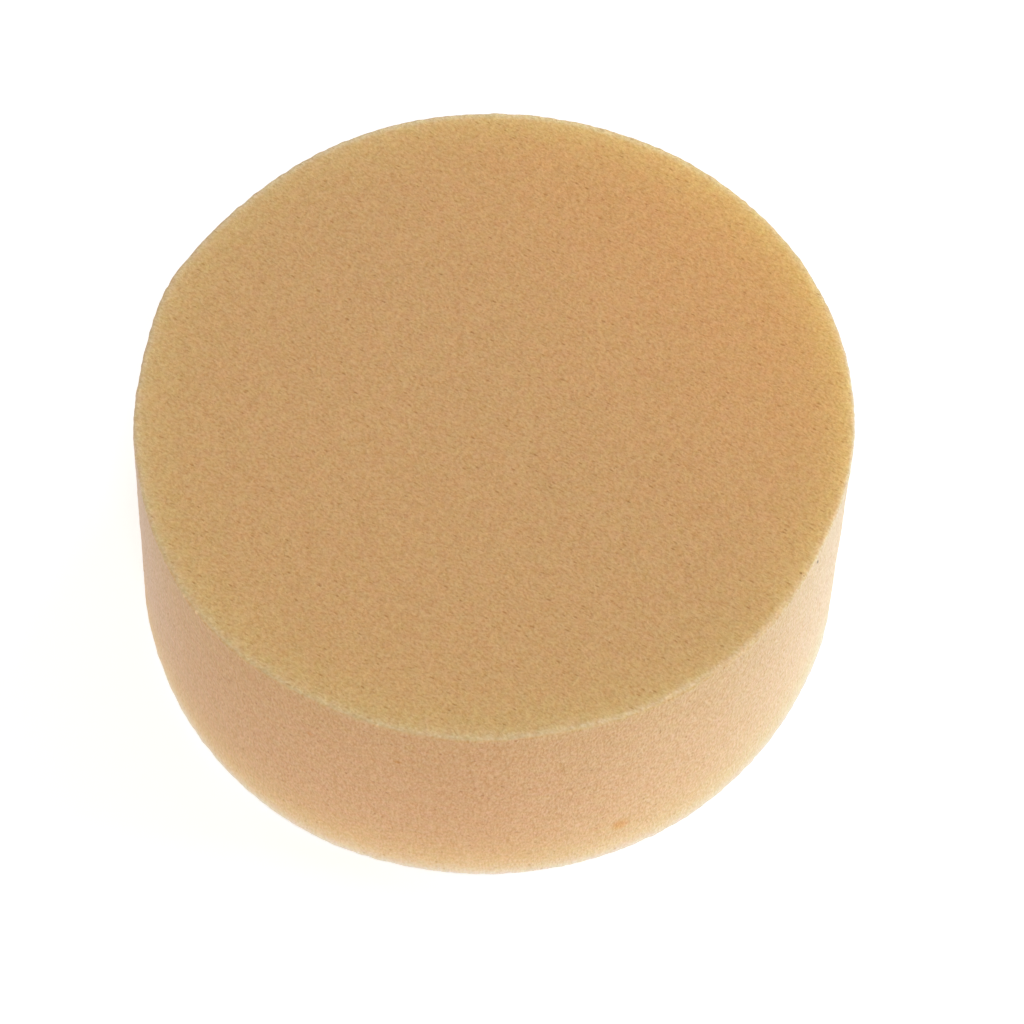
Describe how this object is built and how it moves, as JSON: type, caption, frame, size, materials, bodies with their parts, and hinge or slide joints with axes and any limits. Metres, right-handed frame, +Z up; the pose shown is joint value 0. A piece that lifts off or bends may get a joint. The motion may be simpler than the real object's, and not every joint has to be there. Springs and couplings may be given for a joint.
{
  "type": "wet palette sponge",
  "caption": "Thick round disc of fine open-cell foam that holds water in a wet palette or works as a round painting sponge.",
  "frame": {"origin": "on the base, under the middle of the disc", "axes": "+Z up, square to the base and the top face; +Y to the back; the top face stands a little towards +X"},
  "size_m": [0.071, 0.07, 0.0305],
  "materials": {
    "foam": "fine open-cell foam with knife-cut faces, matt, tan with a yellower rim and a pinker wall"
  },
  "bodies": {
    "root": {"foam_disc": "foam"}
  },
  "joints": []
}
